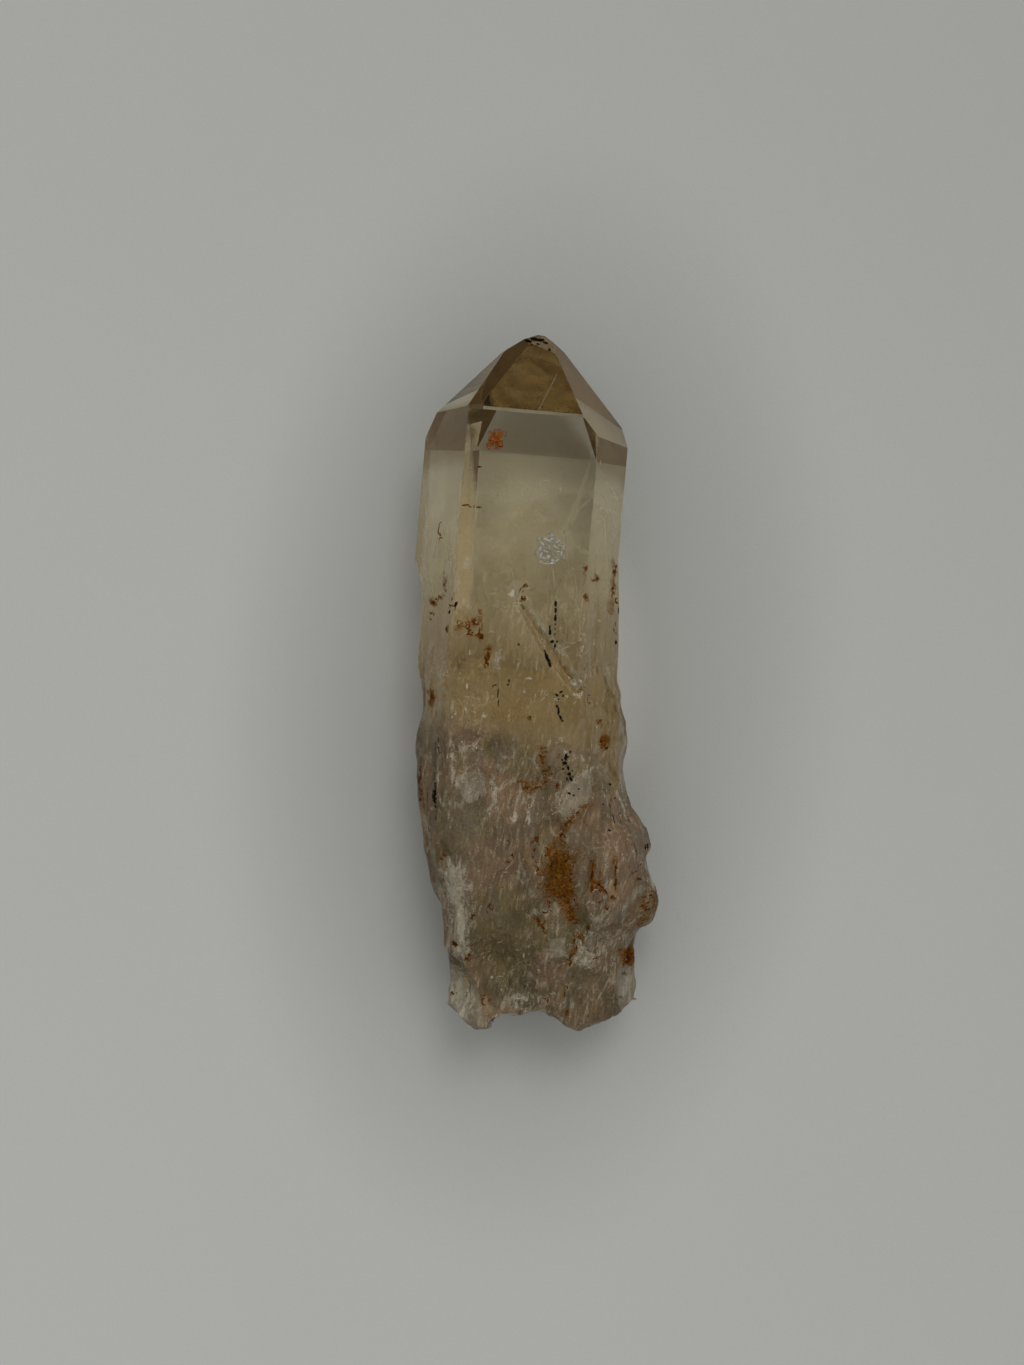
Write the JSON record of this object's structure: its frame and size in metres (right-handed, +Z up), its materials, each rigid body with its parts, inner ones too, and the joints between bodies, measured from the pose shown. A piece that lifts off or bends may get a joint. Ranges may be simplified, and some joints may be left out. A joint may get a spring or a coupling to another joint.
{
  "type": "citrine crystal",
  "caption": "Single quartz crystal with a clear pale yellow prism and point and a milky, iron-stained broken base, lying on one flat prism face.",
  "frame": {"origin": "middle of the crystal's box, at the height of the face that it rests on", "axes": "+Y along the crystal's own axis, towards its point; +Z up from the resting prism face; +X across, to the right when it is seen from above with the point away"},
  "size_m": [0.0396, 0.1012, 0.025],
  "materials": {
    "clear_citrine": "clear and glossy on the prism and point, frosted, milky and rust-stained in the broken lower half"
  },
  "bodies": {
    "root": {"citrine_crystal": "clear_citrine"}
  },
  "joints": []
}
